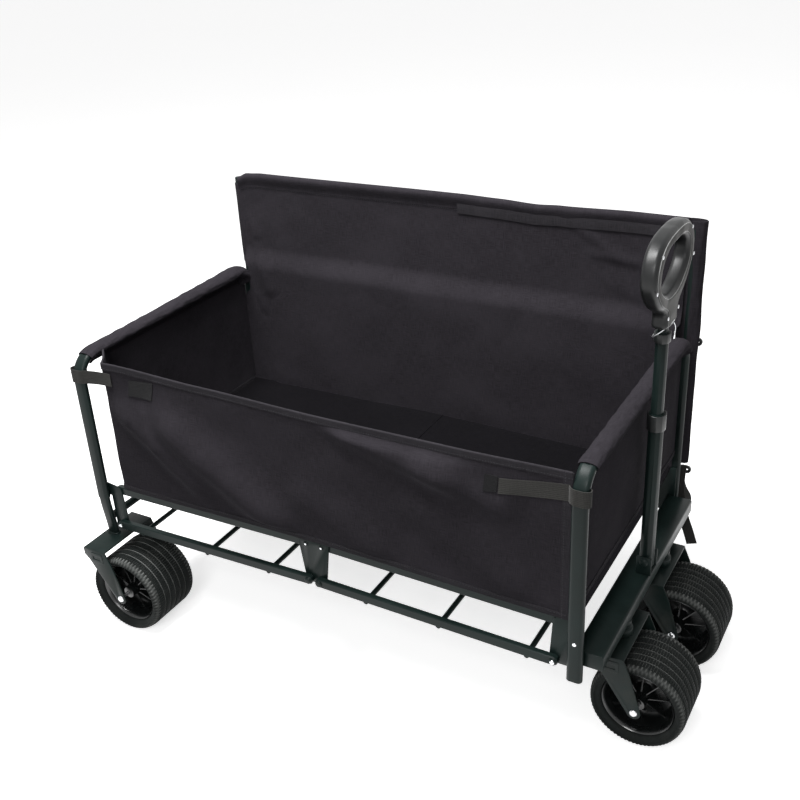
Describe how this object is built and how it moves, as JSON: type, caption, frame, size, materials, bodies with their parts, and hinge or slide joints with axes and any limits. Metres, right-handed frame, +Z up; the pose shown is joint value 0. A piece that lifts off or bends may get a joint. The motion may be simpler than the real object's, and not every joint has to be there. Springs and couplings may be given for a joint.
{
  "type": "folding wagon",
  "caption": "Four-wheeled folding wagon with a cloth basket, tall back, wide tyres, swivelling front wheels and a telescoping pull handle.",
  "frame": {"origin": "on the floor, midway between the front and rear axles as parked and between the two long sides", "axes": "+X towards the pull handle, +Y towards the tall back, +Z up"},
  "size_m": [1.2324, 0.6836, 0.916],
  "materials": {
    "powder_coat": "black-green powder coat, satin",
    "zinc_steel": "zinc-plated steel",
    "tyre_rubber": "matt black tread",
    "rim_plastic": "moulded black, slightly glossy",
    "black_cloth": "charcoal woven polyester",
    "grip_plastic": "grey-black textured",
    "black_plastic": "black, satin"
  },
  "bodies": {
    "rear_frame": {"rear_frame": "powder_coat", "rear_leg_near": "powder_coat", "rear_leg_far": "powder_coat", "rear_hood_near": "powder_coat", "rear_hood_far": "powder_coat", "rear_near_axle": "zinc_steel", "rear_far_axle": "zinc_steel", "rear_cross_tube": "powder_coat", "rear_ear_near": "powder_coat", "rear_ear_far": "powder_coat", "rear_panel": "black_cloth", "rear_stanchion": "powder_coat", "near_panel": "black_cloth", "back_panel": "black_cloth"},
    "rear_wheel_near": {"rear_near_tyre": "tyre_rubber", "rear_near_rim": "rim_plastic"},
    "rear_wheel_far": {"rear_far_tyre": "tyre_rubber", "rear_far_rim": "rim_plastic"},
    "rear_base": {"rear_base": "powder_coat"},
    "rear_floor": {"rear_floor": "black_cloth", "rear_upper_rail_near": "powder_coat", "rear_upper_rail_far": "powder_coat"},
    "centre_bracket": {"centre_bracket_near": "powder_coat", "centre_bracket_far": "powder_coat"},
    "front_base": {"front_base": "powder_coat"},
    "front_floor": {"front_floor": "black_cloth", "front_upper_rail_near": "powder_coat", "front_upper_rail_far": "powder_coat"},
    "front_frame": {"front_frame": "powder_coat", "front_ear_near": "powder_coat", "front_ear_far": "powder_coat", "front_panel": "black_cloth", "front_stanchion": "powder_coat", "front_beam": "powder_coat", "handle_base": "powder_coat"},
    "caster_near": {"kingpin_near": "zinc_steel", "front_hood_near": "powder_coat", "front_near_axle": "zinc_steel"},
    "front_wheel_near": {"front_near_tyre": "tyre_rubber", "front_near_rim": "rim_plastic"},
    "caster_far": {"kingpin_far": "zinc_steel", "front_hood_far": "powder_coat", "front_far_axle": "zinc_steel"},
    "front_wheel_far": {"front_far_tyre": "tyre_rubber", "front_far_rim": "rim_plastic"},
    "handle": {"handle_outer": "powder_coat", "lower_collar": "black_plastic"},
    "handle_middle": {"handle_middle": "powder_coat", "upper_collar": "black_plastic"},
    "handle_grip": {"handle_inner": "powder_coat", "handle_grip": "grip_plastic"}
  },
  "joints": [
    {"name": "fold", "type": "hinge", "parent": "rear_frame", "child": "rear_base", "pos_m": [-0.54865, 0, 0.231], "axis": [0, -1, 0], "range_deg": [0, 80], "deforming": ["near_panel", "back_panel"]},
    {"name": "rear_floor_fold", "type": "hinge", "parent": "rear_frame", "child": "rear_floor", "pos_m": [-0.55365, 0, 0.306], "axis": [0, -1, 0], "range_deg": [0, 80]},
    {"name": "centre_bracket_fold", "type": "hinge", "parent": "rear_base", "child": "centre_bracket", "pos_m": [-0.08065, 0, 0.24], "axis": [0, -1, 0], "range_deg": [-80, 0]},
    {"name": "front_base_fold", "type": "hinge", "parent": "centre_bracket", "child": "front_base", "pos_m": [-0.05665, 0, 0.24], "axis": [0, -1, 0], "range_deg": [-80, 0]},
    {"name": "front_floor_fold", "type": "hinge", "parent": "centre_bracket", "child": "front_floor", "pos_m": [-0.05165, 0, 0.315], "axis": [0, -1, 0], "range_deg": [-80, 0]},
    {"name": "front_frame_fold", "type": "hinge", "parent": "front_base", "child": "front_frame", "pos_m": [0.41135, 0, 0.231], "axis": [0, -1, 0], "range_deg": [0, 80]},
    {"name": "rear_wheel_near_spin", "type": "hinge", "parent": "rear_frame", "child": "rear_wheel_near", "pos_m": [-0.52865, -0.265, 0.0875], "axis": [0, 1, 0], "continuous": true},
    {"name": "rear_wheel_far_spin", "type": "hinge", "parent": "rear_frame", "child": "rear_wheel_far", "pos_m": [-0.52865, 0.265, 0.0875], "axis": [0, 1, 0], "continuous": true},
    {"name": "caster_near_swivel", "type": "hinge", "parent": "front_frame", "child": "caster_near", "pos_m": [0.47865, -0.1155, 0.197], "axis": [0, 0, 1], "continuous": true},
    {"name": "front_wheel_near_spin", "type": "hinge", "parent": "caster_near", "child": "front_wheel_near", "pos_m": [0.52865, -0.1155, 0.0875], "axis": [0, 1, 0], "continuous": true},
    {"name": "caster_far_swivel", "type": "hinge", "parent": "front_frame", "child": "caster_far", "pos_m": [0.47865, 0.1155, 0.197], "axis": [0, 0, 1], "continuous": true},
    {"name": "front_wheel_far_spin", "type": "hinge", "parent": "caster_far", "child": "front_wheel_far", "pos_m": [0.52865, 0.1155, 0.0875], "axis": [0, 1, 0], "continuous": true},
    {"name": "handle_tilt", "type": "hinge", "parent": "front_frame", "child": "handle", "pos_m": [0.48235, 0, 0.284], "axis": [0, 1, 0], "range_deg": [0, 105]},
    {"name": "handle_slide_lower", "type": "slide", "parent": "handle", "child": "handle_middle", "axis": [0, 0, 1], "range_m": [-0.13, 0.05]},
    {"name": "handle_slide_upper", "type": "slide", "parent": "handle_middle", "child": "handle_grip", "axis": [0, 0, 1], "range_m": [0, 0.19]}
  ],
  "couplings": [
    {"joint": "rear_floor_fold", "follows": "fold", "ratio": 1},
    {"joint": "centre_bracket_fold", "follows": "fold", "ratio": -1},
    {"joint": "front_base_fold", "follows": "fold", "ratio": -1},
    {"joint": "front_floor_fold", "follows": "fold", "ratio": -1},
    {"joint": "front_frame_fold", "follows": "fold", "ratio": 1}
  ]
}
